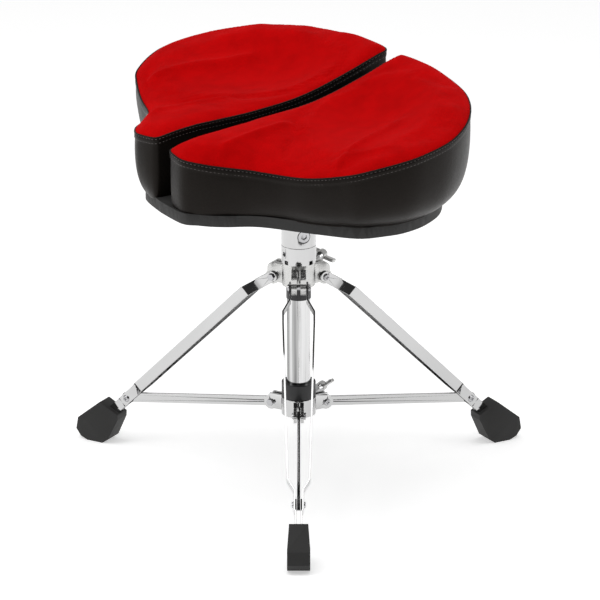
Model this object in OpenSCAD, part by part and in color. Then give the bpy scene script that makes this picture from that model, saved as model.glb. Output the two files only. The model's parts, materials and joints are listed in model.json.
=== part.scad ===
// Drum throne: a split saddle seat on a folding three-leg, double-braced base.
// The origin is on the floor under the column's axis, +Z is up, and the front leg points along -Y.

/* [Seat] */
// Half of the seat's width, from the middle of the gap to the widest point
seat_half_w = 229; // [200:1:260]
// Half of the width across the nose
nose_half_w = 77; // [66:1:86]
// Half of the width at the thigh cut-outs
waist_half_w = 98; // [94:1:120]
// Reach of the nose in front of the column's axis
seat_front = 176; // [165:1:205]
// Reach of the rear rim behind the column's axis
seat_rear = 129; // [115:1:150]
// Gap between the two halves
seat_gap = 24; // [14:1:34]
// Thickness of the base board
board_t = 12; // [9:1:18]
// How far the board's edge stands in from the cushions' widest sides
board_inset = 33; // [20:1:40]
// How much further the board's edge stands in under the left nose
nose_tuck = 16; // [0:1:20]
// Thickness of a cushion at the nose
nose_h = 66; // [50:1:80]
// Thickness of a cushion over the column
middle_h = 79; // [60:1:95]
// Thickness of a cushion at the rear lip
rear_h = 117; // [95:1:135]
// Angle of the seat about the column at rest
seat_turn = -55; // [-90:1:90]

/* [Seat mounting] */
// Width of the square seat plate
plate_w = 104; // [84:1:130]
// Thickness of the seat plate
plate_t = 3; // [2:0.5:5]
// Distance of a plate screw from the middle, along each side
screw_reach = 40; // [32:1:40]
// Radius of a plate screw
screw_r = 2.5; // [2:0.1:3.5]
// Wall of the seat hub and of the memory lock under it
hub_wall = 9.2; // [8.5:0.1:11]
// Height of the seat hub, up to the seat plate
hub_h = 65.5; // [56:0.5:80]
// Height of the memory lock
lock_h = 19.4; // [15:0.1:24]
// Radius of the head of the hub's clamp bolt
clamp_head_r = 6.3; // [5:0.1:6.3]
// Height of the clamp bolt above the memory lock
clamp_rise = 13; // [10:0.5:24]

/* [Column] */
// Radius of the seat post
post_r = 9.5; // [8:0.1:9.8]
// Wall of the seat post
post_wall = 2; // [1.2:0.1:3]
// Wall of the nylon bushing in the top of the tube
top_bushing_wall = 1.6; // [1.2:0.1:2]
// Wall of the outer tube
tube_wall = 1.6; // [1.2:0.1:1.8]
// Height of the outer tube's lower end
tube_z = 80; // [76:1:84]
// Height of the top collar's upper face
collar_top_z = 247.5; // [244:0.5:256]
// Height of the top collar's ring
collar_h = 25; // [22:0.5:30]
// Wall of the top collar's ring
collar_wall = 4.9; // [4:0.1:6]
// Length of the black sleeve under the top collar
sleeve_l = 15; // [8:1:18]
// Wall of the black sleeve
sleeve_wall = 0.6; // [0.4:0.1:1.2]
// Length of the nylon bushing in the top of the tube
top_bushing_l = 34; // [20:1:50]

/* [Legs] */
// Distance of a leg's top pivot from the top collar's ring
pivot_reach = 10.2; // [9.2:0.1:13]
// How far a leg's top pivot lies below the top collar's upper face
pivot_drop = 19.5; // [16:0.5:21]
// Distance of a leg's knee from its top pivot, outwards
knee_reach = 30.2; // [27:0.1:34]
// How far a leg's knee lies below its top pivot
knee_drop = 20; // [17:0.5:23]
// Distance of the brace bolt on a leg from the axis
bolt_r = 212; // [190:1:235]
// Height of the brace bolt on a leg
bolt_z = 54.5; // [50:0.5:62]
// Depth of a leg rail's face
rail_h = 11.6; // [9:0.1:12.4]
// Thickness of a leg rail
rail_t = 2; // [1.5:0.1:2.6]
// Distance from a leg's middle plane to a rail where the legs are widest
flare_w = 16.4; // [15.4:0.1:19]
// Radius of the pivot bolts
pivot_bolt_r = 3; // [2.5:0.1:3.5]
// Radius of the brace bolts
brace_bolt_r = 2.6; // [2:0.1:3]
// Radius of the black bushes between the rails
bush_r = 6.6; // [5:0.1:7]
// Thickness of a rubber foot at its top
foot_top_t = 19.5; // [17:0.5:24]
// Thickness of a rubber foot at its sole
foot_sole_t = 24; // [20:0.5:30]
// Length of a foot's tread on the floor
tread_l = 19; // [15:0.5:24]

/* [Braces] */
// Distance of a brace's hinge from the lower collar's ring
hinge_reach = 13.2; // [12.2:0.1:16]
// Height of a brace's hinge above the lower collar's underside
hinge_rise = 7.5; // [6.5:0.5:9]
// Depth of a brace's face
brace_h = 10.4; // [8:0.1:11]
// Thickness of a brace
brace_t = 3.4; // [2.5:0.1:3.6]
// Radius of a hinge pin on the lower collar
pin_r = 2.5; // [2:0.1:3]
// Thickness of each ear of the lower collar
ear_t = 3.4; // [2.4:0.1:4.5]
// Wall of the lower collar's ring
low_collar_wall = 3; // [2.4:0.1:4]
// Height of the lower collar's ring
low_collar_h = 19; // [17:0.5:22]
// Wall of the nylon bushing in the lower collar
low_bushing_wall = 2.8; // [2:0.1:3.4]
// Height of the nylon bushing that stands above the lower collar
low_bushing_h = 17; // [10:0.5:20]

/* [Wing bolts] */
// Angle of both wing bolts about the column
wing_az = 64; // [62:1:76]
// Radius of a wing bolt's thread
wing_screw_r = 3; // [2.5:0.1:3.2]
// Distance of a wing bolt's grip from the axis
wing_reach = 50; // [46:1:56]
// Half of the span across a wing bolt's wings
wing_span = 16.5; // [13:0.5:18]
// Turn of the upper wings about their bolt
upper_wing_tilt = 14; // [-20:1:40]
// Turn of the lower wings about their bolt
lower_wing_tilt = -39; // [-45:1:-30]

/* [Hidden] */
$fn = 48;

front_az = -90;
right_az = 30;
left_az = 150;

// Clearances: a bore round a turning or sliding shaft, two faces that pass each other, and a cut's overshoot
running = 0.05;
pass = 0.4;
lift = 0.3;
over = 1;

tube_r = post_r + top_bushing_wall + tube_wall;
collar_r = tube_r + collar_wall;
hub_r = post_r + hub_wall;
low_bore_r = tube_r + low_bushing_wall;
low_collar_r = low_bore_r + low_collar_wall;
low_collar_z = tube_z - 3;

pivot_r = collar_r + pivot_reach;
pivot_z = collar_top_z - pivot_drop;
knee_r = pivot_r + knee_reach;
knee_z = pivot_z - knee_drop;
hinge_r = low_collar_r + hinge_reach;
hinge_z = low_collar_z + hinge_rise;
leg_dip = atan2(knee_z - bolt_z, bolt_r - knee_r);
knee_dip = atan2(pivot_z - knee_z, knee_r - pivot_r);
upper_l = norm([knee_r - pivot_r, pivot_z - knee_z]);
lower_l = norm([bolt_r - knee_r, knee_z - bolt_z]);
brace_dip = atan2(hinge_z - bolt_z, bolt_r - hinge_r);
brace_l = norm([bolt_r - hinge_r, hinge_z - bolt_z]);

// Distances of a rail's middle from the leg's middle plane
eye_half = brace_t / 2 + pass;
rail_pivot_w = 9.1;
rail_taper_w = flare_w - 5;
rail_bolt_w = eye_half + 1.4 + rail_t / 2;
rail_end_w = eye_half + rail_t / 2;
rail_flare_start = 18;
rail_flare_end = 33;
rail_taper_start = 27;
rail_taper_end = 15;
rail_in_foot = 36;
rail_eye_lip = 0.4;
tread_r = bolt_r + 36.5;
tongue_half = rail_pivot_w - rail_t / 2 - pass;
tongue_slot = 3.8;
tongue_r = 8.2;
tongue_top_z = pivot_z + 15.5;
head_r = 4;
head_t = 1.9;
ear_half = eye_half + ear_t;
ear_r = 7.8;
boss_r = 6.2;
boss_l = 8;
lock_z = collar_top_z + lift;
hub_z = lock_z + lock_h + lift;
plate_z = hub_z + hub_h;
board_z = plate_z + plate_t;
board_top_z = board_z + board_t;
hub_bore_z = plate_z - 7;
hub_flange_r = 28;
hub_flange_t = 4;
clamp_z = hub_z + clamp_rise;
clamp_az = -72;
clamp_seat_r = hub_r - 4.6;
lock_screw_az = -145;
upper_wing_z = collar_top_z - 9.7;
lower_wing_z = low_collar_z + low_collar_h / 2 + 1.5;

// Points of a Catmull-Rom curve through the list p, with n steps between two points
function bend(a, b, c, d, f) =
    0.5 * ((2 * b) + (c - a) * f + (2 * a - 5 * b + 4 * c - d) * f * f
        + (3 * b - a - 3 * c + d) * f * f * f);
function smooth(p, n) = [
    for (i = [0 : len(p) - 2], k = [0 : n - 1])
        bend(p[max(i - 1, 0)], p[i], p[i + 1], p[min(i + 2, len(p) - 1)], k / n),
    p[len(p) - 1]
];

// Half of the seat's outline, from the nose round the wing to the rear: u from the gap, t to the rear,
// the share of the board's inset at that point, and the share of the left nose's tuck
function wing_u(f) = waist_half_w + f * (seat_half_w - waist_half_w);
half_outline = [
    [0, 2 - seat_front, 0, 0], [nose_half_w - 36, -seat_front, 0, 0.8],
    [nose_half_w - 22, 7 - seat_front, 0.1, 1], [nose_half_w - 10, 17 - seat_front, 0.1, 1],
    [nose_half_w, 29 - seat_front, 0.1, 1], [waist_half_w, 52 - seat_front, 0.25, 0.6],
    [wing_u(0.43), -95, 0.45, 0.1], [wing_u(0.84), -64, 0.8, 0], [wing_u(0.985), -28, 1, 0],
    [seat_half_w, 3, 1, 0], [wing_u(0.92), 42, 1, 0], [wing_u(0.69), seat_rear - 46, 0.9, 0],
    [wing_u(0.31), seat_rear - 14, 0.8, 0], [nose_half_w - 3, seat_rear, 0.7, 0], [0, seat_rear - 5, 0.5, 0]
];
outline_steps = 6;
seat_middle = [0.35 * seat_half_w, -20];

// The smoothed half outline, drawn in towards the middle of the half
function drawn_in(p, reach) = let (
    away = [p.x, p.y] - seat_middle,
    q = [p.x, p.y] - reach * away / norm(away)
) [p.x == 0 ? 0 : q.x, q.y];
function half_points(inset, tuck) = [
    for (p = smooth(half_outline, outline_steps)) drawn_in(p, inset * p[2] + tuck * p[3])
];

// The cushions' upper edge along the seat, as [t, height above the board]
crown_line = smooth([
    [-seat_front - 2, nose_h - 2], [-seat_front + 30, nose_h], [-70, middle_h - 8],
    [10, middle_h], [seat_rear - 50, middle_h + 16], [seat_rear - 12, rear_h], [seat_rear + 2, rear_h - 6]
], 4);

module in_seat() {
    rotate([0, 0, seat_turn]) children();
}

module seat_half() {
    intersection() {
        translate([0, 0, board_top_z]) linear_extrude(height = rear_h + over) difference() {
            polygon(half_points(0, 0));
            translate([-over, -2 * seat_front]) square([seat_gap / 2 + over, 4 * seat_front]);
        }
        translate([0, 0, board_top_z]) rotate([90, 0, 90]) linear_extrude(height = seat_half_w + over)
            polygon(concat(crown_line, [[seat_rear + 2, 0], [-seat_front - 2, 0]]));
    }
}

module cushion_right() {
    color("firebrick") in_seat() seat_half();
}

module cushion_left() {
    color("firebrick") in_seat() mirror([1, 0, 0]) seat_half();
}

module plate_corners() {
    for (x = [-1, 1], y = [-1, 1]) translate([x * screw_reach, y * screw_reach]) children();
}

module seat_board() {
    right = half_points(board_inset, 0);
    left = half_points(board_inset, nose_tuck);
    color("black") in_seat() difference() {
        translate([0, 0, board_z]) linear_extrude(height = board_t)
            polygon(concat(right, [for (i = [len(left) - 2 : -1 : 1]) [-left[i].x, left[i].y]]));
        plate_corners() translate([0, 0, board_z - over]) cylinder(r = screw_r, h = board_t / 2 + over);
    }
}

module seat_plate() {
    corner_r = 10;
    color("dimgray") in_seat() translate([0, 0, plate_z]) difference() {
        union() {
            translate([-plate_w / 2, corner_r - plate_w / 2, 0])
                cube([plate_w, plate_w - 2 * corner_r, plate_t]);
            translate([corner_r - plate_w / 2, -plate_w / 2, 0])
                cube([plate_w - 2 * corner_r, plate_w, plate_t]);
            for (x = [-1, 1], y = [-1, 1])
                translate([x * (plate_w / 2 - corner_r), y * (plate_w / 2 - corner_r), 0])
                    cylinder(r = corner_r, h = plate_t);
        }
        plate_corners() translate([0, 0, -over]) cylinder(r = screw_r, h = plate_t + 2 * over);
    }
}

// A screw along +Z whose head ends at z = 0, with a cross recess in the head
module cross_screw(r, l, head) {
    difference() {
        union() {
            cylinder(r = r, h = l);
            translate([0, 0, -head_t]) cylinder(r1 = head * 0.72, r2 = head, h = head_t);
        }
        for (a = [0, 90]) rotate([0, 0, a]) translate([-head / 2, -0.5, -head_t - over])
            cube([head, 1, over + head_t * 0.6]);
    }
}

module seat_plate_screws() {
    color("silver") in_seat() plate_corners() translate([0, 0, plate_z])
        cross_screw(screw_r, plate_t + board_t / 2, screw_r * 1.9);
}

module seat_hub() {
    slit_w = 2;
    color("silver") difference() {
        union() {
            translate([0, 0, hub_z]) cylinder(r = hub_r, h = plate_z - hub_z);
            translate([0, 0, plate_z - hub_flange_t]) cylinder(r = hub_flange_r, h = hub_flange_t);
        }
        translate([0, 0, hub_z - over]) cylinder(r = post_r + running, h = hub_bore_z - hub_z + over);
        rotate([0, 0, 8]) translate([0, -slit_w / 2, hub_z - over]) cube([hub_r + over, slit_w, 27 + over]);
        rotate([0, 0, clamp_az]) translate([0, 0, clamp_z]) rotate([0, 90, 0]) {
            cylinder(r = wing_screw_r, h = hub_r + over);
            translate([0, 0, clamp_seat_r]) cylinder(r = clamp_head_r + 0.8, h = hub_r);
        }
    }
}

module hub_clamp_bolt() {
    socket_r = clamp_head_r * 0.55;
    color("gray") rotate([0, 0, clamp_az]) translate([0, 0, clamp_z]) rotate([0, 90, 0]) difference() {
        union() {
            translate([0, 0, post_r + pass]) cylinder(r = wing_screw_r, h = clamp_seat_r - post_r - pass);
            translate([0, 0, clamp_seat_r]) cylinder(r = clamp_head_r, h = 4);
        }
        translate([0, 0, clamp_seat_r + 1.4]) cylinder(r = socket_r, h = 4, $fn = 6);
    }
}

module seat_post() {
    color("silver") difference() {
        translate([0, 0, tube_z + 6]) cylinder(r = post_r, h = hub_bore_z - over - tube_z - 6);
        translate([0, 0, tube_z]) cylinder(r = post_r - post_wall, h = plate_z);
    }
}

module memory_lock() {
    notch_w = 5;
    notch_h = 4.5;
    color("silver") difference() {
        translate([0, 0, lock_z]) cylinder(r = hub_r, h = lock_h);
        translate([0, 0, lock_z - over]) cylinder(r = post_r, h = lock_h + 2 * over);
        for (a = [0 : 45 : 315]) rotate([0, 0, a]) translate([post_r + 3, -notch_w / 2, lock_z - over])
            cube([hub_r, notch_w, notch_h + over]);
        lock_screw_place() cylinder(r = screw_r, h = hub_r);
    }
}

module lock_screw_place() {
    rotate([0, 0, lock_screw_az]) translate([0, 0, lock_z + lock_h * 0.58]) rotate([0, 90, 0]) children();
}

module memory_lock_screw() {
    color("dimgray") lock_screw_place() translate([0, 0, post_r + pass])
        cylinder(r = screw_r, h = hub_r - post_r - pass - 2);
}

module outer_tube() {
    color("silver") difference() {
        translate([0, 0, tube_z]) cylinder(r = tube_r, h = collar_top_z - tube_z);
        translate([0, 0, tube_z - over]) cylinder(r = tube_r - tube_wall, h = collar_top_z);
    }
}

module column_sleeve() {
    top = collar_top_z - collar_h;
    color("black") difference() {
        translate([0, 0, top - sleeve_l]) cylinder(r = tube_r + sleeve_wall, h = sleeve_l);
        translate([0, 0, top - sleeve_l - over]) cylinder(r = tube_r, h = sleeve_l + 2 * over);
    }
}

module top_bushing() {
    color("black") difference() {
        translate([0, 0, collar_top_z - top_bushing_l]) cylinder(r = tube_r - tube_wall, h = top_bushing_l);
        translate([0, 0, collar_top_z - top_bushing_l - over])
            cylinder(r = post_r + running, h = top_bushing_l + 2 * over);
    }
}

// Places its children where a wing bolt's axis leaves the column, with +Z outwards
module wing_place(z) {
    rotate([0, 0, wing_az]) translate([0, 0, z]) rotate([0, 90, 0]) children();
}

module tongue() {
    rotate([90, 0, 0]) linear_extrude(height = 2 * tongue_half, center = true) difference() {
        union() {
            translate([pivot_r, pivot_z]) circle(r = tongue_r);
            translate([pivot_r, tongue_top_z - 6]) circle(r = 6);
            translate([collar_r - 5, pivot_z - 1]) square([pivot_r - collar_r + 5, tongue_top_z - pivot_z + 1]);
            translate([pivot_r, pivot_z]) square([6, tongue_top_z - pivot_z - 6]);
            translate([collar_r - 5, pivot_z - 5.4]) square([pivot_r - collar_r + 2, 8]);
        }
        translate([pivot_r, pivot_z]) circle(r = pivot_bolt_r + running);
    }
}

module top_collar() {
    color("lightgray") difference() {
        union() {
            translate([0, 0, collar_top_z - collar_h]) cylinder(r = collar_r, h = collar_h);
            for (a = [front_az, right_az, left_az]) rotate([0, 0, a]) difference() {
                tongue();
                translate([collar_r + 1, -tongue_slot / 2, pivot_z - 2 * tongue_r])
                    cube([4 * tongue_r, tongue_slot, 4 * tongue_r]);
            }
            wing_place(upper_wing_z) cylinder(r = boss_r, h = collar_r + boss_l);
        }
        translate([0, 0, collar_top_z - collar_h - over]) cylinder(r = tube_r, h = collar_h + 2 * over);
        wing_place(upper_wing_z) cylinder(r = wing_screw_r + running, h = 3 * collar_r);
    }
}

module ear_profile() {
    top = hinge_z + 10;
    translate([hinge_r, hinge_z]) circle(r = ear_r);
    polygon([
        [low_collar_r - 4, low_collar_z + 1], [hinge_r, low_collar_z + 1], [hinge_r + 6, hinge_z + 3],
        [hinge_r + 1.5, top], [low_collar_r - 4, top]
    ]);
}

module lower_collar() {
    color("silver") difference() {
        union() {
            translate([0, 0, low_collar_z]) cylinder(r = low_collar_r, h = low_collar_h);
            for (a = [front_az, right_az, left_az]) rotate([0, 0, a]) difference() {
                rotate([90, 0, 0]) linear_extrude(height = 2 * ear_half, center = true) ear_profile();
                translate([low_collar_r + 0.5, -eye_half, low_collar_z - over])
                    cube([3 * ear_r, 2 * eye_half, 2 * low_collar_h]);
                translate([hinge_r, 0, hinge_z]) rotate([90, 0, 0])
                    cylinder(r = pin_r, h = 4 * ear_half, center = true);
            }
            wing_place(lower_wing_z) cylinder(r = boss_r, h = low_collar_r + boss_l);
        }
        translate([0, 0, low_collar_z - over]) cylinder(r = low_bore_r, h = 2 * low_collar_h);
        wing_place(lower_wing_z) cylinder(r = wing_screw_r + running, h = 3 * low_collar_r);
    }
}

module lower_bushing() {
    top = low_collar_z + low_collar_h;
    color("black") difference() {
        union() {
            translate([0, 0, low_collar_z]) cylinder(r = low_bore_r, h = low_collar_h);
            translate([0, 0, top]) cylinder(r = low_collar_r - 0.4, h = low_bushing_h);
        }
        translate([0, 0, low_collar_z - over])
            cylinder(r = tube_r + running, h = low_collar_h + low_bushing_h + 2 * over);
    }
}

module wing_screw(z, tip) {
    wing_place(z) {
        translate([0, 0, tip + lift]) cylinder(r = wing_screw_r, h = wing_reach - tip - lift);
        translate([0, 0, wing_reach - 5]) cylinder(r1 = wing_screw_r, r2 = 5, h = 5);
    }
}

module upper_wing_screw() {
    color("silver") wing_screw(upper_wing_z, tube_r);
}

module lower_wing_screw() {
    color("silver") wing_screw(lower_wing_z, low_bore_r);
}

module wing_grip(z, tilt) {
    grip_r = 5.4;
    grip_l = 9;
    blade_t = 3;
    blade_w = 9;
    wing_place(z) translate([0, 0, wing_reach]) rotate([0, 0, tilt]) {
        cylinder(r = grip_r, h = grip_l);
        for (a = [0, 180]) rotate([0, 0, a]) rotate([0, -12, 0])
            translate([-blade_t / 2, 0, 0]) rotate([90, 0, 90])
                linear_extrude(height = blade_t) union() {
                    translate([0, 0.5]) square([wing_span - 2.5, blade_w]);
                    translate([wing_span - 2.5, 3]) circle(r = 2.5);
                    translate([wing_span - 2.5, blade_w - 2]) circle(r = 2.5);
                    translate([wing_span - 2.5, 3]) square([2.5, blade_w - 5]);
                }
    }
}

module upper_wing_grip() {
    color("gray") wing_grip(upper_wing_z, upper_wing_tilt);
}

module lower_wing_grip() {
    color("gray") wing_grip(lower_wing_z, lower_wing_tilt);
}

// Places its children in a leg's own plane: +X outwards, +Z up, Y across the leg
module in_leg(az) {
    rotate([0, 0, az]) children();
}

module at_bolt() {
    translate([bolt_r, 0, bolt_z]) rotate([0, leg_dip, 0]) children();
}

// A point of a leg's plane from its distances along the leg past the brace bolt and square to the leg
function along_leg(p) = [
    bolt_r + p.x * cos(leg_dip) + p.y * sin(leg_dip), bolt_z - p.x * sin(leg_dip) + p.y * cos(leg_dip)
];

// A flat bar's face in a leg's plane, mitred at the knee, with a round eye at the pivot
module rail_face() {
    half = rail_h / 2;
    half_bend = (leg_dip - knee_dip) / 2;
    pivot = [pivot_r, pivot_z];
    knee = [knee_r, knee_z];
    mitre = half / cos(half_bend) * [sin(knee_dip + half_bend), cos(knee_dip + half_bend)];
    at_pivot = half * [sin(knee_dip), cos(knee_dip)];
    polygon([
        pivot + at_pivot, knee + mitre, along_leg([rail_in_foot, half]),
        along_leg([rail_in_foot, -half]), knee - mitre, pivot - at_pivot
    ]);
    translate(pivot) circle(r = half + rail_eye_lip);
}

module rail(side) {
    pivot_s = -upper_l * cos(leg_dip - knee_dip);
    path = [
        [pivot_s - rail_h, rail_pivot_w], [pivot_s + rail_flare_start, rail_pivot_w],
        [pivot_s + rail_flare_end, flare_w], [rail_h, flare_w],
        [lower_l - rail_taper_start, rail_taper_w], [lower_l - rail_taper_end, rail_bolt_w],
        [lower_l + bush_r + 0.2, rail_bolt_w], [lower_l + bush_r + 2.8, rail_end_w],
        [lower_l + 2 * rail_in_foot, rail_end_w]
    ];
    n = len(path) - 1;
    color("silver") mirror([0, side > 0 ? 0 : 1, 0]) difference() {
        intersection() {
            rotate([90, 0, 0]) linear_extrude(height = 4 * flare_w, center = true) rail_face();
            translate([knee_r, 0, knee_z]) rotate([0, leg_dip, 0]) translate([0, 0, -3 * rail_h])
                linear_extrude(height = 6 * rail_h) polygon(concat(
                    [for (p = path) [p.x, p.y + rail_t / 2]],
                    [for (i = [n : -1 : 0]) [path[i].x, path[i].y - rail_t / 2]]
                ));
        }
        translate([pivot_r, 0, pivot_z]) rotate([90, 0, 0])
            cylinder(r = pivot_bolt_r, h = 4 * flare_w, center = true);
        translate([bolt_r, 0, bolt_z]) rotate([90, 0, 0])
            cylinder(r = brace_bolt_r, h = 4 * flare_w, center = true);
    }
}

module pivot_bolt() {
    half = rail_pivot_w + rail_t / 2;
    color("silver") translate([pivot_r, 0, pivot_z]) {
        rotate([-90, 0, 0]) translate([0, 0, -half]) cross_screw(pivot_bolt_r, 2 * half + 1, head_r);
        rotate([-90, 0, 0]) translate([0, 0, half]) cylinder(r = head_r, h = 2.4, $fn = 6);
    }
}

// The bolt stops each side of the brace's eye: the brace's outer pivot is left open
module brace_bolt() {
    half = rail_bolt_w + rail_t / 2;
    color("silver") translate([bolt_r, 0, bolt_z]) for (a = [-90, 90]) rotate([a, 0, 0])
        translate([0, 0, -half]) cross_screw(brace_bolt_r, half - eye_half, head_r);
}

module bushes() {
    wall = rail_bolt_w - rail_t / 2 - eye_half;
    color("black") translate([bolt_r, 0, bolt_z]) for (a = [-90, 90]) rotate([a, 0, 0])
        translate([0, 0, eye_half]) difference() {
            cylinder(r = bush_r, h = wall);
            translate([0, 0, -over]) cylinder(r = brace_bolt_r, h = wall + 2 * over);
        }
}

module foot() {
    outline = concat(
        [for (p = [[24.5, -12], [20, -7.8], [28, 16], [62.2, 19.3], [73.2, 11.5], [74.5, 1.8]])
            along_leg(p)],
        [[tread_r + tread_l / 2, 0], [tread_r - tread_l / 2, 0]], [along_leg([49.8, -20.9])]
    );
    pocket_half = rail_end_w + rail_t / 2;
    color("black") difference() {
        intersection() {
            rotate([90, 0, 0]) linear_extrude(height = foot_sole_t + over, center = true) polygon(outline);
            at_bolt() translate([0, 0, -2 * foot_sole_t]) linear_extrude(height = 4 * foot_sole_t) polygon([
                [0, -foot_top_t / 2], [24, -foot_top_t / 2], [58, -foot_sole_t / 2], [90, -foot_sole_t / 2],
                [90, foot_sole_t / 2], [58, foot_sole_t / 2], [24, foot_top_t / 2], [0, foot_top_t / 2]
            ]);
        }
        at_bolt() translate([-rail_in_foot, -pocket_half, -rail_h / 2])
            cube([2 * rail_in_foot, 2 * pocket_half, rail_h]);
    }
}

module at_hinge() {
    translate([hinge_r, 0, hinge_z]) rotate([0, brace_dip, 0]) children();
}

module brace() {
    color("silver") at_hinge() rotate([90, 0, 0]) linear_extrude(height = brace_t, center = true) difference() {
        union() {
            circle(d = brace_h);
            translate([0, -brace_h / 2]) square([brace_l, brace_h]);
        }
        circle(r = pin_r + running);
        translate([brace_l, 0]) circle(r = bush_r - 1);
    }
}

module brace_eye() {
    color("black") at_hinge() translate([brace_l, 0, 0]) rotate([90, 0, 0]) difference() {
        cylinder(r = bush_r - 1, h = brace_t, center = true);
        cylinder(r = brace_bolt_r + running, h = 2 * brace_t, center = true);
    }
}

module brace_pin() {
    color("silver") translate([hinge_r, 0, hinge_z]) {
        rotate([-90, 0, 0]) translate([0, 0, -ear_half]) cross_screw(pin_r, 2 * ear_half + 1, head_r);
        rotate([-90, 0, 0]) translate([0, 0, ear_half]) cylinder(r = head_r, h = 2.2, $fn = 6);
    }
}

seat_board();
cushion_left();
cushion_right();
seat_plate();
seat_plate_screws();
seat_hub();
hub_clamp_bolt();
seat_post();
memory_lock();
memory_lock_screw();
outer_tube();
column_sleeve();
top_collar();
top_bushing();
lower_collar();
lower_bushing();
upper_wing_screw();
upper_wing_grip();
lower_wing_screw();
lower_wing_grip();
in_leg(front_az) rail(1);  // front_rail_left
in_leg(front_az) rail(-1);  // front_rail_right
in_leg(front_az) pivot_bolt();  // front_pivot_bolt
in_leg(front_az) brace_bolt();  // front_brace_bolt
in_leg(front_az) bushes();  // front_bushes
in_leg(front_az) foot();  // front_foot
in_leg(front_az) brace();  // front_brace
in_leg(front_az) brace_eye();  // front_brace_eye
in_leg(front_az) brace_pin();  // front_brace_pin
in_leg(right_az) rail(1);  // right_rail_left
in_leg(right_az) rail(-1);  // right_rail_right
in_leg(right_az) pivot_bolt();  // right_pivot_bolt
in_leg(right_az) brace_bolt();  // right_brace_bolt
in_leg(right_az) bushes();  // right_bushes
in_leg(right_az) foot();  // right_foot
in_leg(right_az) brace();  // right_brace
in_leg(right_az) brace_eye();  // right_brace_eye
in_leg(right_az) brace_pin();  // right_brace_pin
in_leg(left_az) rail(1);  // left_rail_left
in_leg(left_az) rail(-1);  // left_rail_right
in_leg(left_az) pivot_bolt();  // left_pivot_bolt
in_leg(left_az) brace_bolt();  // left_brace_bolt
in_leg(left_az) bushes();  // left_bushes
in_leg(left_az) foot();  // left_foot
in_leg(left_az) brace();  // left_brace
in_leg(left_az) brace_eye();  // left_brace_eye
in_leg(left_az) brace_pin();  // left_brace_pin
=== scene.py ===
import json
import math

import bmesh
import bpy
import numpy as np
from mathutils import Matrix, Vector

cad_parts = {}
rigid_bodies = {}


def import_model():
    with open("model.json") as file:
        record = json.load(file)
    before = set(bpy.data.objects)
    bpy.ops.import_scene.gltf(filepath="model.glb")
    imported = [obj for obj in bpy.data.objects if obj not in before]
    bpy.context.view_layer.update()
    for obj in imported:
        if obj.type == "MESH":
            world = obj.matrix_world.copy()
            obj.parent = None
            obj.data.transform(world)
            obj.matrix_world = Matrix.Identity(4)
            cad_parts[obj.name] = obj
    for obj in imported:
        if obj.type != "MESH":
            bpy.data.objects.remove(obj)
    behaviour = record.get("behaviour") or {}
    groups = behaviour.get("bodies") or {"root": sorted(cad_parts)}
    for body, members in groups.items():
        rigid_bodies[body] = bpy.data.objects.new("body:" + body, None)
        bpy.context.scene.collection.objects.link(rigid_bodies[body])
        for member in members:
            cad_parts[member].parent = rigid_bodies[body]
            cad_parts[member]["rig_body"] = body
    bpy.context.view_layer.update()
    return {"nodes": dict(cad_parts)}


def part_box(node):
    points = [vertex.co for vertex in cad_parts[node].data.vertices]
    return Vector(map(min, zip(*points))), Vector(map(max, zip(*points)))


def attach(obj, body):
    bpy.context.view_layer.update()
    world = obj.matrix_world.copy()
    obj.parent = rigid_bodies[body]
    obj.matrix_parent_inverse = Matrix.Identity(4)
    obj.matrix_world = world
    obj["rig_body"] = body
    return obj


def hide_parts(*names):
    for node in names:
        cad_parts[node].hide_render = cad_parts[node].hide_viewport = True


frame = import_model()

scene = bpy.context.scene
mm = 0.001


# shader maths: a Wire holds one socket, and + - * on it add Math nodes
class Wire:
    def __init__(self, nodes, socket):
        self.nodes = nodes
        self.socket = socket

    def math(self, operation, *others):
        values = dict(enumerate([self, *others]))
        return self.nodes.node("ShaderNodeMath", {"operation": operation}, values)

    def __add__(self, other):
        return self.math("ADD", other)

    def __mul__(self, other):
        return self.math("MULTIPLY", other)

    def __sub__(self, other):
        return self.math("SUBTRACT", other)

    def __rsub__(self, other):
        return self.nodes.node("ShaderNodeMath", {"operation": "SUBTRACT"}, {0: other, 1: self})

    __radd__ = __add__
    __rmul__ = __mul__

    def clip(self):
        return self.math("MINIMUM", 1.0).math("MAXIMUM", 0.0)


# a node tree; settings go in first, a ramp's stops as (place, grey), then each socket's value or link
class Nodes:
    def __init__(self, tree):
        self.tree = tree

    def node(self, kind, settings, inputs, output=0):
        made = self.tree.nodes.new(kind)
        for key, value in settings.items():
            if key == "stops":
                ramp = made.color_ramp.elements
                for number, (place, grey) in enumerate(value):
                    stop = ramp[number] if number < 2 else ramp.new(place)
                    stop.position = place
                    stop.color = (grey, grey, grey, 1.0)
            else:
                setattr(made, key, value)
        for key, value in inputs.items():
            if isinstance(value, Wire):
                self.tree.links.new(value.socket, made.inputs[key])
            elif isinstance(value, tuple) and made.inputs[key].type == "RGBA":
                made.inputs[key].default_value = (*value, 1.0)
            else:
                made.inputs[key].default_value = value
        return Wire(self, made.outputs[output])


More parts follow.
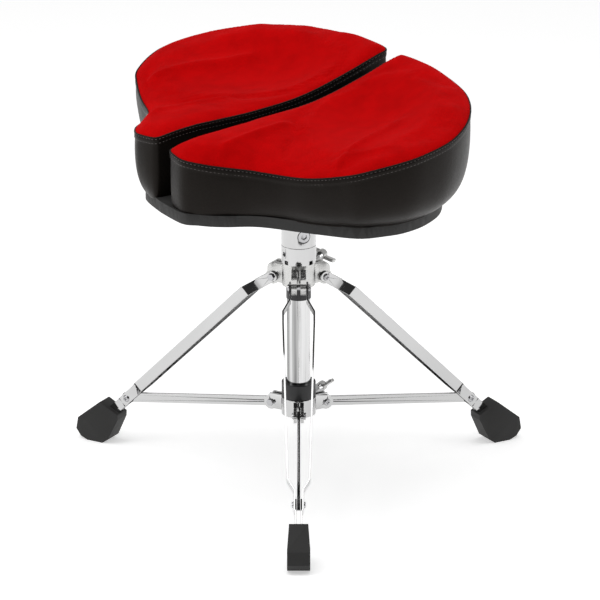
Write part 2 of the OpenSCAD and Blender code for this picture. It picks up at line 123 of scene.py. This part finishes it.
# a material, with its constants set on the shader's own sockets
class Look(Nodes):
    def __init__(self, name, **constants):
        self.material = bpy.data.materials.new(name)
        self.material.use_nodes = True
        super().__init__(self.material.node_tree)
        self.shader = self.tree.nodes["Principled BSDF"]
        for key, value in constants.items():
            socket = self.shader.inputs[key.replace("_", " ")]
            socket.default_value = (*value, 1.0) if isinstance(value, tuple) else value
        self.place = self.node("ShaderNodeTexCoord", {}, {}, "Object")

    def noise(self, scale, detail=3.0, roughness=0.5, place=None):
        inputs = {"Vector": place or self.place, "Scale": scale, "Detail": detail, "Roughness": roughness}
        return self.node("ShaderNodeTexNoise", {}, inputs, "Fac")

    def stretched(self, x, y, z):
        return self.node("ShaderNodeMapping", {}, {"Vector": self.place, "Scale": (x, y, z)})

    def blend(self, factor, first, second):
        inputs = {0: factor, 6: first, 7: second}
        return self.node("ShaderNodeMix", {"data_type": "RGBA"}, inputs, 2)

    def feed(self, socket, wire):
        self.tree.links.new(wire.socket, self.shader.inputs[socket])

    def bump(self, height, depth, strength=1.0):
        inputs = {"Height": height, "Distance": depth, "Strength": strength}
        self.feed("Normal", self.node("ShaderNodeBump", {}, inputs))
        return self.material


# short pile: mottled red, darker where the pile lies away, with a fine nap
velourSet = dict(
    deep=(0.34, 0.0004, 0.0006), bright=(0.68, 0.0022, 0.003), pressed=9.0, mottle=55.0, nap=1500.0,
    pressedShare=0.55, mottleShare=0.75, napShare=0.45, shadeStart=0.36, rough=0.78, roughSpread=0.2,
    napDepth=0.00035, mottleDepth=0.6, bumpStrength=0.8,
)


def makeVelour():
    v = velourSet
    look = Look("velour", Roughness=0.85, Sheen_Weight=0.12, Sheen_Roughness=0.4,
                Sheen_Tint=(1.0, 0.13, 0.14), Specular_IOR_Level=0.02)
    patches = look.noise(v["pressed"], 2.0)
    mottle = look.noise(v["mottle"], 4.0, 0.65)
    nap = look.noise(v["nap"], 2.0, 0.7)
    mixed = patches * v["pressedShare"] + mottle * v["mottleShare"] + nap * v["napShare"]
    look.feed("Base Color", look.blend((mixed - v["shadeStart"]).clip(), v["deep"], v["bright"]))
    look.feed("Roughness", v["rough"] + v["roughSpread"] * mottle)
    return look.bump(nap + v["mottleDepth"] * mottle, v["napDepth"], v["bumpStrength"])


# soft vinyl: pebbled grain with a faint dusty variation and a shallow pucker
vinylSet = dict(
    base=(0.0042, 0.0034, 0.0028), worn=(0.0100, 0.0082, 0.0070), wornShare=0.9, pebble=620.0, pebbleEdge=3.0,
    cloud=14.0, rough=0.27, cloudRough=0.14, grainRough=0.05, pucker=90.0, puckerShare=1.5, depth=0.00012,
    bumpStrength=0.7,
)


def makeVinyl():
    v = vinylSet
    look = Look("vinyl", Specular_IOR_Level=0.12, Specular_Tint=(1.0, 0.9, 0.84))
    cells = look.node("ShaderNodeTexVoronoi", {"feature": "DISTANCE_TO_EDGE"},
                      {"Vector": look.place, "Scale": v["pebble"], "Randomness": 0.9}, "Distance")
    grain = (cells * v["pebbleEdge"]).clip()
    cloud = look.noise(v["cloud"], 4.0, 0.6)
    look.feed("Base Color", look.blend(cloud * v["wornShare"], v["base"], v["worn"]))
    look.feed("Roughness", v["rough"] + v["cloudRough"] * cloud + v["grainRough"] * grain)
    return look.bump(grain + look.noise(v["pucker"], 3.0) * v["puckerShare"], v["depth"], v["bumpStrength"])


# painted board: a flat black paint over faint long grain
boardSet = dict(base=(0.010, 0.010, 0.010), light=(0.035, 0.034, 0.033), streak=60.0, across=9.0, rough=0.5,
                roughSpread=0.25, depth=0.0002)


def makeBoard():
    b = boardSet
    look = Look("boardPaint", Specular_IOR_Level=0.4)
    streak = look.noise(b["streak"], 5.0, 0.6, look.stretched(1.0, b["across"], b["across"]))
    look.feed("Base Color", look.blend(streak, b["base"], b["light"]))
    look.feed("Roughness", b["rough"] + b["roughSpread"] * streak)
    return look.bump(streak, b["depth"], 0.5)


# plated and cast metals share one recipe: two shades, gloss range, size of the marks and their depth;
# one with a length has its marks drawn out along the tube instead, and they set its shade as painted
# reflection lines
metalSet = dict(
    chrome=dict(low=(0.50, 0.50, 0.50), high=(0.60, 0.60, 0.60), rough=0.05, spread=0.07, marks=35.0,
                depth=0.00002),
    # the outer tube: dark and bright streaks along its length are a painted reflection, the low shade a
    # painted dark reflection line
    chromePaintedReflectionLines=dict(low=(0.20, 0.20, 0.20), high=(0.66, 0.66, 0.66), rough=0.06, spread=0.07, marks=90.0,
                     depth=0.00001, length=0.02, reflectionLineStart=0.36, reflectionLineSharp=5.0),
    castZinc=dict(low=(0.50, 0.50, 0.49), high=(0.62, 0.62, 0.61), rough=0.24, spread=0.14, marks=520.0,
                  depth=0.00008),
    screwSteel=dict(low=(0.40, 0.40, 0.41), high=(0.56, 0.56, 0.57), rough=0.16, spread=0.16, marks=300.0,
                    depth=0.00004),
)


def makeMetal(name):
    m = metalSet[name]
    look = Look(name, Metallic=1.0)
    hasPaintedReflectionLines = "length" in m
    place = look.stretched(1.0, 1.0, m["length"]) if hasPaintedReflectionLines else look.place
    marks = look.noise(m["marks"], 4.0, 0.6, place)
    wide = look.noise(m["marks"] * 0.2, 3.0, 0.5)
    # on the tube, marks stretched along it turn into painted reflection lines, dark where they fall below the
    # start
    shade = ((marks - m["reflectionLineStart"]) * m["reflectionLineSharp"]).clip() if hasPaintedReflectionLines else wide
    look.feed("Base Color", look.blend(shade, m["low"], m["high"]))
    look.feed("Roughness", m["rough"] + m["spread"] * (marks * wide))
    return look.bump(marks, m["depth"], 0.5)


# black mouldings and the thread share one recipe: two shades, gloss, size of the texture and its depth
mouldSet = dict(
    rubber=dict(low=(0.009, 0.009, 0.009), high=(0.024, 0.023, 0.022), rough=0.52, spread=0.22, marks=700.0,
                depth=0.00016),
    nylon=dict(low=(0.008, 0.008, 0.009), high=(0.020, 0.020, 0.021), rough=0.34, spread=0.16, marks=400.0,
               depth=0.00005),
    sleeveFilm=dict(low=(0.006, 0.006, 0.007), high=(0.012, 0.012, 0.013), rough=0.14, spread=0.10,
                    marks=60.0, depth=0.00003),
    platePaint=dict(low=(0.014, 0.014, 0.014), high=(0.032, 0.032, 0.033), rough=0.42, spread=0.20,
                    marks=350.0, depth=0.00008),
    thread=dict(low=(0.05, 0.045, 0.043), high=(0.17, 0.15, 0.145), rough=0.6, spread=0.2, marks=900.0,
                depth=0.0001),
)


def makeMould(name):
    m = mouldSet[name]
    look = Look(name, Specular_IOR_Level=0.45)
    marks = look.noise(m["marks"], 4.0, 0.65)
    wide = look.noise(24.0, 3.0, 0.5)
    look.feed("Base Color", look.blend(wide * 0.6 + marks * 0.4, m["low"], m["high"]))
    look.feed("Roughness", m["rough"] + m["spread"] * wide)
    return look.bump(marks, m["depth"], 0.8)


looks = {"velour": makeVelour(), "vinyl": makeVinyl(), "boardPaint": makeBoard()}
looks.update({name: makeMetal(name) for name in metalSet})
looks.update({name: makeMould(name) for name in mouldSet})
print("materials:", len(looks))


def meshPiece(name, points, faces, material):
    mesh = bpy.data.meshes.new(name)
    mesh.from_pydata(points.tolist(), [], faces.tolist())
    mesh.materials.append(looks[material])
    mesh.validate()
    mesh.shade_smooth()
    piece = bpy.data.objects.new(name, mesh)
    scene.collection.objects.link(piece)
    return piece


# quads between the rows of a grid of vertex numbers; its last column joins its first, and with
# closedRows its last row joins its first as well
def gridFaces(rows, columns, closedRows=False):
    ids = np.arange(rows * columns).reshape(rows, columns)
    below, above = (ids, np.roll(ids, -1, 0)) if closedRows else (ids[:-1], ids[1:])
    return np.stack([below, np.roll(below, -1, 1), np.roll(above, -1, 1), above], -1).reshape(-1, 4)


# Catmull-Rom through rows of control values, open, with the same number of steps between two rows
def throughPoints(control, steps):
    p = np.asarray(control, float)
    p = np.vstack([p[0], p, p[-1]])
    f = np.linspace(0, 1, steps, endpoint=False)[:, None, None]
    a, b, c, d = p[:-3], p[1:-2], p[2:-1], p[3:]
    made = 0.5 * (2 * b + (c - a) * f + (2 * a - 5 * b + 4 * c - d) * f**2 + (3 * b - a - 3 * c + d) * f**3)
    return np.vstack([made.transpose(1, 0, 2).reshape(-1, p.shape[1]), p[-1]])


# the same rows at even distances along a closed loop, measured in its first two columns
def evenLoop(rows, count):
    closed = np.vstack([rows, rows[:1]])
    length = np.r_[0, np.cumsum(np.linalg.norm(np.diff(closed[:, :2], axis=0), axis=1))]
    at = np.linspace(0, length[-1], count, endpoint=False)
    return np.stack([np.interp(at, length, closed[:, k]) for k in range(closed.shape[1])], 1)


# a running mean round a closed loop, weighted by e to the power of -(steps / reach)^2 / 2
def softened(rows, reach):
    spread = np.arange(-3 * reach, 3 * reach + 1)
    bell = np.exp(-0.5 * (spread / reach) ** 2)
    bell /= bell.sum()
    return sum(w * np.roll(rows, int(k), axis=0) for w, k in zip(bell, spread))


# half a seat in its own plan: u from the gap outwards, t to the rear, in millimetres
seat = dict(
    turn=-55.0, around=400, cornerReach=2, heightReach=5, centre=(78.0, -22.0),
    # the ring under the foot: how far towards the centre, as a share, and how much higher
    underShare=0.05, underLift=0.5,
    # the left nose stands higher than the right one, and its outer wall is tucked in further
    lean=3.0, leanStart=-60.0, leanLength=60.0,
    tuck=13.0, tuckStart=-95.0, tuckLength=50.0, tuckSide=14.0, tuckSideLength=22.0,
    # u, t, height of the seam, how far the wall's foot stands in, height of the wall's foot
    rim=[(12, -172, 409, 3, 336.6), (28, -175, 410, 3, 336.6), (42, -176, 408.5, 4, 337),
         (55, -169, 407.5, 6, 338), (67, -159, 406, 6, 340), (77, -147, 404, 7, 342),
         (88, -134, 402.5, 8, 344), (98, -124, 402, 11, 346), (122, -108, 399.5, 11, 347),
         (154, -95, 402, 14, 347.5), (186, -79, 409, 22, 348), (208, -64, 416, 28, 348),
         (227, -28, 425.5, 33, 348), (229, 3, 430.5, 33, 348), (219, 42, 436, 32, 348),
         (188, 83, 443, 28, 348), (138, 115, 448, 25, 348), (74, 129, 452, 20, 348),
         (40, 128, 455, 16, 348), (12, 123, 457, 9, 348)],
    # the same along the gap, from the rear forwards
    gap=[(12, 120, 457, 4, 348), (12, 79, 443, 1, 348), (12, 10, 425, 1, 348),
         (12, -68, 419, 1, 345), (12, -140, 415, 1, 337), (12, -170, 411, 2, 336.6)],
)


# the top: heights given as u, t, z; the roll down to the seam; two ridges as ends, height, width
topSet = dict(
    heights=[(12, -166, 415), (12, -120, 419), (12, -68, 422), (12, -20, 425), (12, 10, 428), (12, 50, 437),
             (12, 79, 447), (12, 112, 460), (40, -160, 421), (60, -143, 425), (48, -100, 425), (32, -45, 424),
             (86, -122, 408), (112, -96, 408), (60, -55, 420), (80, -20, 416), (90, 25, 419), (120, -45, 416),
             (50, 35, 425), (150, -68, 414), (155, -20, 424), (140, 30, 428), (200, -32, 429), (208, 5, 439),
             (200, 42, 447), (20, 106, 461), (75, 108, 465), (130, 92, 459), (172, 66, 455), (75, 70, 436),
             (118, 56, 431), (35, 76, 441), (165, 28, 431)],
    seamLift=8.0, seamPoints=40, stiffness=900.0, roll=19.0, rollPower=2.3, ridgePower=1.3, ridgeFade=0.15,
    ridges=[((174, -78), (134, 36), 6.0, 8.0), ((68, -150), (51, -46), 6.5, 7.5)],
)


# a smooth sheet near scattered heights: weighted sums of r^2 log r round each point, plus a plane
def thinPlate(known, values, places, stiffness):
    def kernel(p, q):
        r2 = ((p[:, None] - q[None]) ** 2).sum(-1) + 1e-9
        return 0.5 * r2 * np.log(r2)
    n = len(known)
    plane = np.c_[np.ones(n), known]
    system = np.block([[kernel(known, known) + stiffness * np.eye(n), plane], [plane.T, np.zeros((3, 3))]])
    weights = np.linalg.solve(system, np.r_[values, np.zeros(3)])
    return kernel(places, known) @ weights[:n] + np.c_[np.ones(len(places)), places] @ weights[n:]


# the seat's own plan to the frame: turned about the column, x = u cos a - t sin a, y = u sin a + t cos a
def seatToFrame(rows, mirrored):
    a = math.radians(seat["turn"])
    u = rows[..., 0] * (-1.0 if mirrored else 1.0)
    t, z = rows[..., 1], rows[..., 2]
    x = u * math.cos(a) - t * math.sin(a)
    y = u * math.sin(a) + t * math.cos(a)
    return np.stack([x, y, z], -1) * mm


# rim loop: u, t, seam height, foot inset, foot height, even in length and with its corners rounded
def rimLoop(lean, tuck):
    outer = throughPoints(seat["rim"], 12)
    inner = throughPoints(seat["gap"], 12)[1:-1]
    loop = evenLoop(np.vstack([outer, inner]), seat["around"])
    rim = softened(loop, seat["cornerReach"])
    rim[:, 2:] = softened(loop[:, 2:], seat["heightReach"])
    u, t = rim[:, 0], rim[:, 1]
    rim[:, 2] += lean * np.clip((seat["leanStart"] - t) / seat["leanLength"], 0, 1)
    forward = np.clip((seat["tuckStart"] - t) / seat["tuckLength"], 0, 1)
    rim[:, 3] += tuck * forward * np.clip((u - seat["tuckSide"]) / seat["tuckSideLength"], 0, 1)
    return rim


# unit directions out of a loop: each chord between a point's neighbours, turned a quarter to the right
def outward(loop):
    along = np.roll(loop[:, :2], -1, 0) - np.roll(loop[:, :2], 1, 0)
    along /= np.linalg.norm(along, axis=1)[:, None]
    return np.stack([along[:, 1], -along[:, 0]], 1)


# height of the padded top: the thin plate, plus two ridges that fall off by e^-(distance / width)^power,
# rolled down to the seam near the rim by (1 - depth / roll)^power
def topHeights(places, rim, nearest, depth):
    g = topSet
    heights = np.array(g["heights"], float)
    seam = rim[::len(rim) // g["seamPoints"]]
    known = np.vstack([heights[:, :2], seam[:, :2]])
    values = np.r_[heights[:, 2], seam[:, 2] + g["seamLift"]]
    z = thinPlate(known, values, places, g["stiffness"])
    for start, end, height, width in g["ridges"]:
        a, b = np.array(start, float), np.array(end, float)
        along = ((places - a) @ (b - a)) / ((b - a) @ (b - a))
        off = np.linalg.norm(places - (a + np.clip(along, 0, 1)[:, None] * (b - a)), axis=1)
        ends = np.minimum(along + g["ridgeFade"], 1 + g["ridgeFade"] - along)
        fade = np.clip(ends / (2 * g["ridgeFade"]), 0, 1)
        z = z + height * np.exp(-((off / width) ** g["ridgePower"])) * fade * fade * (3 - 2 * fade)
    edge = (1 - np.clip(depth / g["roll"], 0, 1)) ** g["rollPower"]
    return z - (z - rim[nearest, 2]) * edge


# the wall from its foot up to the seam; rows are shares of its height below the seam, and the last
# few stand close together for the band's edge
wallSet = dict(
    band=7.0, bandLift=0.9, bandEdge=1.2, seamEdge=1.5, bulge=1.6, bulgeInset=10.0,
    easyShare=0.35, easyPower=2.0, turnPower=7.0, rows=30, rowPower=1.4, lastRow=0.16,
    bandRows=[0.125, 0.1, 0.09, 0.08, 0.05, 0.02, 0.0], topRows=46, topPower=1.35,
)


# the whole skin of a half. Wall: each row is the rim moved out by a sine bulge and the band's lift, and
# in by the foot inset times a mix of two powers of the drop. Top: each row is the rim drawn to the centre
def cushionSkin(lean, tuck):
    w = wallSet
    rim = rimLoop(lean, tuck)
    out = outward(rim)
    centre = np.array(seat["centre"], float)
    height = rim[:, 2] - rim[:, 4]
    bulging = w["bulge"] * np.clip(rim[:, 3] / w["bulgeInset"], 0, 1)
    down = np.r_[1 - (1 - w["lastRow"]) * np.linspace(0, 1, w["rows"]) ** w["rowPower"], w["bandRows"]]
    wall = []
    for v in down:
        drop = v * height
        inward = w["easyShare"] * v ** w["easyPower"] + (1 - w["easyShare"]) * v ** w["turnPower"]
        swell = bulging * math.sin(math.pi * min(1.0, v * 1.1))
        band = np.clip((w["band"] - drop) / w["bandEdge"], 0, 1) * np.clip(drop / w["seamEdge"], 0, 1)
        step = swell + w["bandLift"] * band - rim[:, 3] * inward
        wall.append(np.c_[rim[:, :2] + out * step[:, None], rim[:, 2] - drop])
    share = 1 - np.linspace(0, 1, w["topRows"] + 1)[1:-1] ** w["topPower"]
    places = (centre + share[:, None, None] * (rim[None, :, :2] - centre)).reshape(-1, 2)
    gaps = ((places[:, None] - rim[None, ::2, :2]) ** 2).sum(-1)
    z = topHeights(places, rim, gaps.argmin(1) * 2, np.sqrt(gaps.min(1)))
    top = np.c_[places, z].reshape(len(share), -1, 3)
    return rim, out, np.array(wall), top


# one half: its rings are stacked, a point closes it under the foot and another on top, and the rows
# above the seam take the velour
def cushionPiece(name, mirrored):
    lean, tuck = (seat["lean"], seat["tuck"]) if mirrored else (-seat["lean"], 0.0)
    rim, out, wall, top = cushionSkin(lean, tuck)
    underRing = wall[:1].copy()
    underRing[..., :2] += (np.array(seat["centre"]) - underRing[..., :2]) * seat["underShare"]
    underRing[..., 2] += seat["underLift"]
    rings = np.concatenate([underRing, wall, top])
    count, around = rings.shape[:2]
    poles = np.array([[*seat["centre"], rim[:, 4].max()], [*seat["centre"], top[-1, :, 2].mean()]])
    points = np.vstack([rings.reshape(-1, 3), poles])
    faces = gridFaces(count, around)
    ids = np.arange(around)
    under = np.stack([np.roll(ids, -1), ids, np.full(around, count * around)], 1)
    last = (count - 1) * around + ids
    over = np.stack([last, np.roll(last, -1), np.full(around, count * around + 1)], 1)
    allFaces = faces.tolist() + under.tolist() + over.tolist()
    if mirrored:
        allFaces = [f[::-1] for f in allFaces]
    mesh = bpy.data.meshes.new(name)
    mesh.from_pydata(seatToFrame(points, mirrored).tolist(), [], allFaces)
    mesh.materials.append(looks["vinyl"])
    mesh.materials.append(looks["velour"])
    slots = np.zeros(len(allFaces), np.int32)
    slots[len(wall) * around:len(faces)] = 1
    slots[len(faces) + around:] = 1
    mesh.polygons.foreach_set("material_index", slots)
    mesh.shade_smooth()
    piece = bpy.data.objects.new(name, mesh)
    scene.collection.objects.link(piece)
    return piece, rim, out, wall


def coordinates(mesh):
    co = np.zeros(len(mesh.vertices) * 3, np.float32)
    mesh.vertices.foreach_get("co", co)
    return co.reshape(-1, 3).astype(float)


clothSet = dict(voxel=0.0055, pressure=3.0, frames=16, quality=5, heldDepth=0.010, heldSeam=0.006,
                cap=0.0045, fadeFromSeam=12.0, fadePower=1.5, fadeUp=0.012, neighbours=4, block=400)


# inflates a remeshed copy as cloth and carries its capped movement back to the piece: each vertex takes
# the mean move of its nearest few, weighted by one over distance squared, less near the seam and the foot
def puffUp(piece, rim, mirrored):
    c = clothSet
    copy = bpy.data.objects.new("puffCopy", piece.data.copy())
    scene.collection.objects.link(copy)
    remesh = copy.modifiers.new("voxels", "REMESH")
    remesh.mode = "VOXEL"
    remesh.voxel_size = c["voxel"]
    graph = bpy.context.evaluated_depsgraph_get()
    copy.data = bpy.data.meshes.new_from_object(copy.evaluated_get(graph))
    copy.modifiers.clear()
    start = coordinates(copy.data)
    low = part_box("seat_board")[1][2] + c["heldDepth"]
    seam = seatToFrame(rim[:, :3], mirrored)[::2]
    near = np.min([np.linalg.norm(start - s, axis=1) for s in seam], axis=0)
    held = np.flatnonzero((start[:, 2] < low) | (near < c["heldSeam"]))
    group = copy.vertex_groups.new(name="held")
    group.add(held.tolist(), 1.0, "REPLACE")
    cloth = copy.modifiers.new("cloth", "CLOTH")
    cloth.settings.use_pressure = True
    cloth.settings.uniform_pressure_force = c["pressure"]
    cloth.settings.vertex_group_mass = "held"
    cloth.settings.effector_weights.gravity = 0.0
    cloth.settings.quality = c["quality"]
    cloth.collision_settings.use_collision = False
    for number in range(1, c["frames"] + 1):
        scene.frame_set(number)
    graph = bpy.context.evaluated_depsgraph_get()
    shift = coordinates(copy.evaluated_get(graph).data) - start
    size = np.linalg.norm(shift, axis=1)[:, None]
    shift *= np.minimum(1.0, c["cap"] / np.maximum(size, 1e-9))
    bpy.data.objects.remove(copy)
    scene.frame_set(1)
    target = coordinates(piece.data)
    carried = np.zeros_like(target)
    for first in range(0, len(target), c["block"]):
        block = target[first:first + c["block"]]
        gap2 = ((block[:, None] - start[None]) ** 2).sum(-1)
        close = np.argpartition(gap2, c["neighbours"], axis=1)[:, :c["neighbours"]]
        weight = 1.0 / (np.take_along_axis(gap2, close, 1) + 1e-7)
        weight /= weight.sum(1)[:, None]
        carried[first:first + c["block"]] = (shift[close] * weight[..., None]).sum(1)
    seamGap = np.min([np.linalg.norm(target - s, axis=1) for s in seam], axis=0) / mm
    free = np.clip(seamGap / c["fadeFromSeam"], 0, 1) ** c["fadePower"]
    free *= np.clip((target[:, 2] - low) / c["fadeUp"], 0, 1)
    move = carried * free[:, None]
    target += move
    piece.data.vertices.foreach_set("co", target.astype(np.float32).ravel())
    piece.data.update()
    print("puffed", piece.name, "largest move", round(float(np.abs(move).max() / mm), 2), "mm")


# trims of a half, in millimetres: each cord's offset out of its path and its rise, and each row of
# stitches' offset out of the rim and its drop below the seam
trimSet = dict(
    pipingRadius=1.0, pipingOut=0.5, pipingRise=-0.2, hemRadius=1.5, hemOut=0.2, hemRise=0.4, cordSides=10,
    bandOut=0.75, bandDrop=6.2, seamOut=0.95, seamDrop=1.6,
    # a stitch: its pitch, length and radius, and its sections as (place along, share of the radius)
    pitch=4.2, length=2.5, radius=0.34, stitchSides=6,
    sections=[(-1.0, 0.15), (-0.6, 0.9), (0.6, 0.9), (1.0, 0.15)],
)


# a round cord carried along a closed path: path + radius (out cos v + up sin v)
def cordAlong(name, path, out, radius, mirrored):
    turn = np.linspace(0, 2 * math.pi, trimSet["cordSides"], endpoint=False)
    side = np.c_[out, np.zeros(len(out))][:, None] * np.cos(turn)[None, :, None]
    up = np.array([0, 0, 1.0])[None, None] * np.sin(turn)[None, :, None]
    rows = path[:, None] + radius * (side + up)
    faces = gridFaces(len(path), len(turn), closedRows=True)
    if mirrored:
        faces = faces[:, ::-1]
    return meshPiece(name, seatToFrame(rows.reshape(-1, 3), mirrored), faces, "vinyl")


# one stitch is a six-sided bead with two flat ends, drawn out along the path; a row of them is one mesh
def stitchRow(name, path, out, mirrored):
    t = trimSet
    total = np.linalg.norm(np.roll(path, -1, 0) - path, axis=1).sum()
    count = int(total / t["pitch"])
    rows = evenLoop(np.c_[path, out], count)
    ahead = np.roll(rows[:, :3], -1, 0) - np.roll(rows[:, :3], 1, 0)
    ahead /= np.linalg.norm(ahead, axis=1)[:, None]
    outDir = np.c_[rows[:, 3:5], np.zeros(count)]
    upDir = np.cross(ahead, outDir)
    place, share = np.array(t["sections"]).T[:, None, :, None, None]
    turn = np.linspace(0, 2 * math.pi, t["stitchSides"], endpoint=False)
    ring = np.cos(turn)[None, :, None] * outDir[:, None] + np.sin(turn)[None, :, None] * upDir[:, None]
    bead = (rows[:, None, None, :3] + ahead[:, None, None] * (place * t["length"] / 2)
            + ring[:, None] * (share * t["radius"]))
    sides = gridFaces(len(t["sections"]), t["stitchSides"])
    ends = np.array([[0, 5, 4, 3], [0, 3, 2, 1], [18, 19, 20, 21], [18, 21, 22, 23]])
    one = np.vstack([sides, ends])[:, ::-1]
    corners = len(t["sections"]) * t["stitchSides"]
    faces = (one[None] + corners * np.arange(count)[:, None, None]).reshape(-1, 4)
    if mirrored:
        faces = faces[:, ::-1]
    return meshPiece(name, seatToFrame(bead.reshape(-1, 3), mirrored), faces, "thread")


for side, mirrored in (("right", False), ("left", True)):
    t = trimSet
    ending = side.capitalize()
    cushion, rim, out, wall = cushionPiece("cushion" + ending, mirrored)
    puffUp(cushion, rim, mirrored)
    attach(cushion, "seat")
    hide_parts("cushion_" + side)
    plan, seamHeight = rim[:, :2], rim[:, 2]
    pipingPath = np.c_[plan + out * t["pipingOut"], seamHeight + t["pipingRise"]]
    hemPath = np.c_[wall[0][:, :2] + out * t["hemOut"], rim[:, 4] + t["hemRise"]]
    bandPath = np.c_[plan + out * t["bandOut"], seamHeight - t["bandDrop"]]
    seamPath = np.c_[plan + out * t["seamOut"], seamHeight - t["seamDrop"]]
    trim = [
        cordAlong("piping" + ending, pipingPath, out, t["pipingRadius"], mirrored),
        cordAlong("hem" + ending, hemPath, out, t["hemRadius"], mirrored),
        stitchRow("bandStitches" + ending, bandPath, out, mirrored),
        stitchRow("seamStitches" + ending, seamPath, out, mirrored),
    ]
    for piece in trim:
        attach(piece, "seat")
print("seat made")


# rounding of the edges that are sharper than this angle, in degrees
easeSet = dict(angle=32.0, segments=2, merge=1e-6)


# a CAD node's own shape, merged and with its edges rounded; it stands for the node
def eased(node, material, slotName, width):
    source = frame["nodes"][node]
    angle = math.radians(easeSet["angle"])
    mesh = source.data.copy()
    mesh.name = node + "Eased"
    work = bmesh.new()
    work.from_mesh(mesh)
    bmesh.ops.remove_doubles(work, verts=work.verts, dist=easeSet["merge"])
    work.to_mesh(mesh)
    work.free()
    mesh.materials.clear()
    mesh.materials.append(looks[material])
    mesh.shade_smooth()
    mesh.set_sharp_from_angle(angle=angle)
    piece = bpy.data.objects.new(node + ".eased", mesh)
    scene.collection.objects.link(piece)
    bevel = piece.modifiers.new("easedEdges", "BEVEL")
    bevel.width = width * mm
    bevel.segments = easeSet["segments"]
    bevel.limit_method = "ANGLE"
    bevel.angle_limit = angle
    bevel.harden_normals = True
    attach(piece, source["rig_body"])
    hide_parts(node)


# each kind of node's material, its slot in the record and how round its edges are, in millimetres
finishes = dict(
    seat_board=("boardPaint", "board_black", 1.6), seat_plate=("platePaint", "plate_black", 0.5),
    seat_plate_screws=("screwSteel", "screw_steel", 0.15), seat_hub=("chrome", "chrome", 0.7),
    hub_clamp_bolt=("screwSteel", "screw_steel", 0.5), seat_post=("chrome", "chrome", 0.3),
    memory_lock=("chrome", "chrome", 0.5), memory_lock_screw=("screwSteel", "screw_steel", 0.2),
    outer_tube=("chromePaintedReflectionLines", "chrome", 0.3), column_sleeve=("sleeveFilm", "sleeve_black", 0.1),
    top_collar=("castZinc", "cast_zinc", 0.8), top_bushing=("nylon", "nylon_black", 0.2),
    lower_collar=("chrome", "chrome", 0.6), lower_bushing=("nylon", "nylon_black", 0.6),
    upper_wing_screw=("chrome", "chrome", 0.2), upper_wing_grip=("castZinc", "cast_zinc", 0.7),
    lower_wing_screw=("chrome", "chrome", 0.2), lower_wing_grip=("castZinc", "cast_zinc", 0.7),
    rail_left=("chrome", "chrome", 0.35), rail_right=("chrome", "chrome", 0.35),
    pivot_bolt=("screwSteel", "screw_steel", 0.3), brace_bolt=("screwSteel", "screw_steel", 0.25),
    bushes=("nylon", "nylon_black", 0.2), foot=("rubber", "rubber_black", 1.3),
    brace=("chrome", "chrome", 0.5), brace_eye=("nylon", "nylon_black", 0.2),
    brace_pin=("screwSteel", "screw_steel", 0.3),
)
for node in sorted(frame["nodes"]):
    if node.startswith("cushion"):
        continue
    leg, rest = node.split("_", 1)
    kind = rest if leg in ("front", "right", "left") else node
    eased(node, *finishes[kind])
print("column, legs and board made")


# floor, world and lights
studio = dict(
    floor=40.0, paper=((0.90, 0.90, 0.90), (0.93, 0.93, 0.93)), paperNoise=3.0, glow=0.48, world=0.56,
    # brightness of the surroundings from the near side round to the far side
    surround=[(0.0, 0.06), (0.30, 0.14), (0.52, 0.80), (1.0, 1.0)],
    # each soft box: name, place, what it points at, its two sides and its power in watts
    boxes=[("topBox", (-0.2, -0.35, 2.4), (0, -0.35, 0.3), (1.7, 2.6), 29.0),
           ("leftBox", (-2.3, -0.5, 1.2), (0, 0, 0.3), (0.9, 1.6), 13.0),
           ("rightBox", (2.4, -0.3, 1.0), (0, 0, 0.3), (0.8, 1.5), 10.0),
           ("frontStrip", (-0.7, -3.4, 2.6), (0, 0, 0.3), (0.5, 1.6), 7.0)],
)


def softBox(name, place, target, size, power):
    data = bpy.data.lights.new(name, "AREA")
    data.shape = "RECTANGLE"
    data.size, data.size_y = size
    data.energy = power
    lamp = bpy.data.objects.new(name, data)
    lamp.location = place
    lamp.rotation_euler = (Vector(target) - Vector(place)).to_track_quat("-Z", "Y").to_euler()
    scene.collection.objects.link(lamp)


def makeFloor():
    half = studio["floor"] / 2
    corners = [(-half, -half, 0), (half, -half, 0), (half, half, 0), (-half, half, 0)]
    mesh = bpy.data.meshes.new("floor")
    mesh.from_pydata(corners, [], [(0, 1, 2, 3)])
    floor = bpy.data.objects.new("floor", mesh)
    scene.collection.objects.link(floor)
    look = Look("floorPaper", Roughness=0.9, Specular_IOR_Level=0.1, Emission_Color=(1.0, 1.0, 1.0),
                Emission_Strength=studio["glow"])
    look.feed("Base Color", look.blend(look.noise(studio["paperNoise"], 2.0), *studio["paper"]))
    mesh.materials.append(look.material)


# an even grey all round, brighter towards +Y: the ramp is read at half of the direction's Y, plus half
def makeWorld():
    world = bpy.data.worlds.new("studioWorld")
    world.use_nodes = True
    scene.world = world
    sky = Nodes(world.node_tree)
    direction = sky.node("ShaderNodeTexCoord", {}, {}, "Generated")
    farness = sky.node("ShaderNodeSeparateXYZ", {}, {0: direction}, "Y") * 0.5 + 0.5
    light = sky.node("ShaderNodeValToRGB", {"stops": studio["surround"]}, {0: farness})
    shade = sky.tree.nodes["Background"]
    shade.inputs["Strength"].default_value = studio["world"]
    sky.tree.links.new(light.socket, shade.inputs["Color"])


# the camera stands well back, a little above the seat, looking along +Y
cameraSet = dict(distance=7.0, target=(0.0014, 0.0, 0.204), elevation=19.8, focal=396.9, sensor=36.0,
                 farthest=60.0)


def makeCamera():
    c = cameraSet
    data = bpy.data.cameras.new("camera")
    data.sensor_width = c["sensor"]
    data.lens = c["focal"]
    data.clip_end = c["farthest"]
    camera = bpy.data.objects.new("camera", data)
    e = math.radians(c["elevation"])
    target = Vector(c["target"])
    camera.location = target + c["distance"] * Vector((0, -math.cos(e), math.sin(e)))
    camera.rotation_euler = (math.pi / 2 - e, 0, 0)
    scene.collection.objects.link(camera)
    scene.camera = camera


makeFloor()
makeWorld()
for box in studio["boxes"]:
    softBox(*box)
makeCamera()
scene.view_settings.view_transform = "Standard"
print("studio made")
